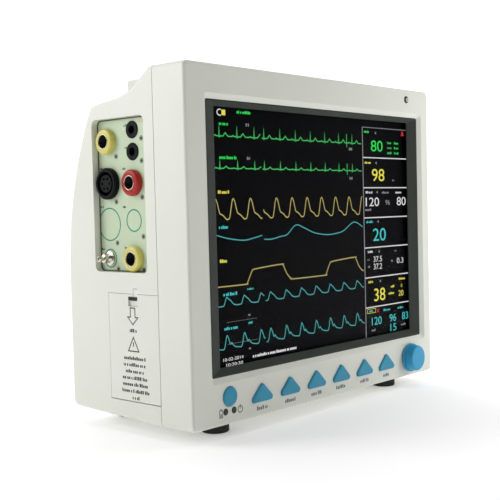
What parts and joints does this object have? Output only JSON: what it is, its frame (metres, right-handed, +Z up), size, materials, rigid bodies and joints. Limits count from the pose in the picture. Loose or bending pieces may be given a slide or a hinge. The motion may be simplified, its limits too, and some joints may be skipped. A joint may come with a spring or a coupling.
{
  "type": "patient monitor",
  "caption": "Bedside patient monitor with a colour screen, keys and knob, side sensor sockets, battery bay, strip recorder and folding carry handle.",
  "frame": {"origin": "middle of the whole outline at floor level, with knob, cuff port and earth stud counted", "axes": "+X to the right seen from the front, -Y out of the screen, +Z up"},
  "size_m": [0.322, 0.16, 0.2692],
  "materials": {
    "casing": "fine moulded texture",
    "handle": "fine moulded texture",
    "grip_rubber": "soft ribbed",
    "frame_dark": "satin dark grey",
    "screen_glass": "clear",
    "screen_black": "dark screen",
    "zinc_steel": "zinc plated",
    "screw_steel": "bright",
    "key_blue": "satin",
    "knob_blue": "satin",
    "white_plastic": "satin",
    "grey_silicone": "soft",
    "board_green": "lacquered board",
    "black_plastic": "satin",
    "dark_lens": "glossy lens",
    "panel_green": "satin print panel",
    "yellow_plastic": "glossy",
    "red_plastic": "glossy",
    "contact_gold": "plated",
    "nozzle_metal": "nickel plated",
    "grey_plastic": "satin",
    "battery_wrap": "shrink sleeve",
    "paper": "smooth",
    "black_rubber": "matt",
    "fuse_glass": "clear"
  },
  "bodies": {
    "case": {"front_bezel": "casing", "rear_case": "casing", "display_frame": "frame_dark", "display_window": "screen_glass", "lcd_panel": "screen_black", "lcd_bracket": "zinc_steel", "bracket_screws": "screw_steel", "encoder_body": "zinc_steel", "key_mat": "grey_silicone", "key_board": "board_green", "key_switches": "black_plastic", "status_lights": "dark_lens", "alarm_lens": "dark_lens", "connector_panel": "panel_green", "oxygen_socket": "yellow_plastic", "output_socket": "yellow_plastic", "pressure_socket": "red_plastic", "temperature_jacks": "black_plastic", "ecg_socket": "black_plastic", "socket_contacts": "contact_gold", "cuff_port": "nozzle_metal", "battery_bay": "grey_plastic", "battery_pack": "battery_wrap", "battery_contacts": "contact_gold", "chassis_plate": "zinc_steel", "main_board": "board_green", "power_supply": "board_green", "measuring_board": "board_green", "air_pump": "zinc_steel", "air_hose": "grey_silicone", "speaker": "black_plastic", "recorder_frame": "grey_plastic", "print_head": "zinc_steel", "mains_inlet": "black_plastic", "earth_stud": "contact_gold", "network_port": "zinc_steel", "feet": "black_rubber", "case_screws": "screw_steel", "threaded_inserts": "contact_gold", "handle_pivots": "screw_steel"},
    "key_1": {"key_1": "key_blue"},
    "key_2": {"key_2": "key_blue"},
    "key_3": {"key_3": "key_blue"},
    "key_4": {"key_4": "key_blue"},
    "key_5": {"key_5": "key_blue"},
    "key_6": {"key_6": "key_blue"},
    "power_button": {"power_button": "key_blue"},
    "encoder_plunger": {"encoder_plunger": "white_plastic"},
    "knob": {"knob": "knob_blue", "encoder_shaft": "screw_steel"},
    "battery_door": {"battery_door": "casing"},
    "battery_latch": {"battery_latch": "casing"},
    "carry_handle": {"carry_handle": "handle", "handle_grip": "grip_rubber"},
    "recorder_door": {"recorder_door": "casing"},
    "platen_roller": {"platen_roller": "black_rubber"},
    "paper_roll": {"paper_roll": "paper"},
    "recorder_button": {"recorder_button": "key_blue"},
    "fuse_drawer": {"fuse_drawer": "black_plastic", "fuses": "fuse_glass"}
  },
  "joints": [
    {"name": "key_1_press", "type": "slide", "parent": "case", "child": "key_1", "axis": [0, 1, 0], "range_m": [0, 0.0012], "stiffness_N_per_m": 900},
    {"name": "key_2_press", "type": "slide", "parent": "case", "child": "key_2", "axis": [0, 1, 0], "range_m": [0, 0.0012], "stiffness_N_per_m": 900},
    {"name": "key_3_press", "type": "slide", "parent": "case", "child": "key_3", "axis": [0, 1, 0], "range_m": [0, 0.0012], "stiffness_N_per_m": 900},
    {"name": "key_4_press", "type": "slide", "parent": "case", "child": "key_4", "axis": [0, 1, 0], "range_m": [0, 0.0012], "stiffness_N_per_m": 900},
    {"name": "key_5_press", "type": "slide", "parent": "case", "child": "key_5", "axis": [0, 1, 0], "range_m": [0, 0.0012], "stiffness_N_per_m": 900},
    {"name": "key_6_press", "type": "slide", "parent": "case", "child": "key_6", "axis": [0, 1, 0], "range_m": [0, 0.0012], "stiffness_N_per_m": 900},
    {"name": "power_press", "type": "slide", "parent": "case", "child": "power_button", "axis": [0, 1, 0], "range_m": [0, 0.0015], "stiffness_N_per_m": 900},
    {"name": "knob_press", "type": "slide", "parent": "case", "child": "encoder_plunger", "axis": [0, 1, 0], "range_m": [0, 0.0006], "stiffness_N_per_m": 3000},
    {"name": "knob_turn", "type": "hinge", "parent": "encoder_plunger", "child": "knob", "pos_m": [0.1208, -0.07, 0.0263], "axis": [0, -1, 0], "continuous": true},
    {"name": "battery_door_hinge", "type": "hinge", "parent": "case", "child": "battery_door", "pos_m": [-0.15395, -0.01, 0.02605], "axis": [0, -1, 0], "range_deg": [0, 95]},
    {"name": "battery_latch_slide", "type": "slide", "parent": "battery_door", "child": "battery_latch", "axis": [0, 0, -1], "range_m": [0, 0.004], "stiffness_N_per_m": 200},
    {"name": "handle_hinge", "type": "hinge", "parent": "case", "child": "carry_handle", "pos_m": [0.0018, -0.0145, 0.2617], "axis": [1, 0, 0], "range_deg": [0, 90]},
    {"name": "recorder_door_hinge", "type": "hinge", "parent": "case", "child": "recorder_door", "pos_m": [0.1573, 0.012, 0.0993], "axis": [0, 1, 0], "range_deg": [0, 80]},
    {"name": "paper_roll_turn", "type": "hinge", "parent": "case", "child": "paper_roll", "pos_m": [0.1248, 0.012, 0.1245], "axis": [0, 1, 0], "continuous": true},
    {"name": "platen_turn", "type": "hinge", "parent": "recorder_door", "child": "platen_roller", "pos_m": [0.1468, 0.012, 0.1635], "axis": [0, 1, 0], "continuous": true},
    {"name": "recorder_button_press", "type": "slide", "parent": "case", "child": "recorder_button", "axis": [-1, 0, 0], "range_m": [0, 0.0015], "stiffness_N_per_m": 600},
    {"name": "fuse_drawer_slide", "type": "slide", "parent": "case", "child": "fuse_drawer", "axis": [0, 1, 0], "range_m": [0, 0.012]}
  ],
  "couplings": [
    {"joint": "platen_turn", "follows": "paper_roll_turn", "ratio": -3.8}
  ]
}
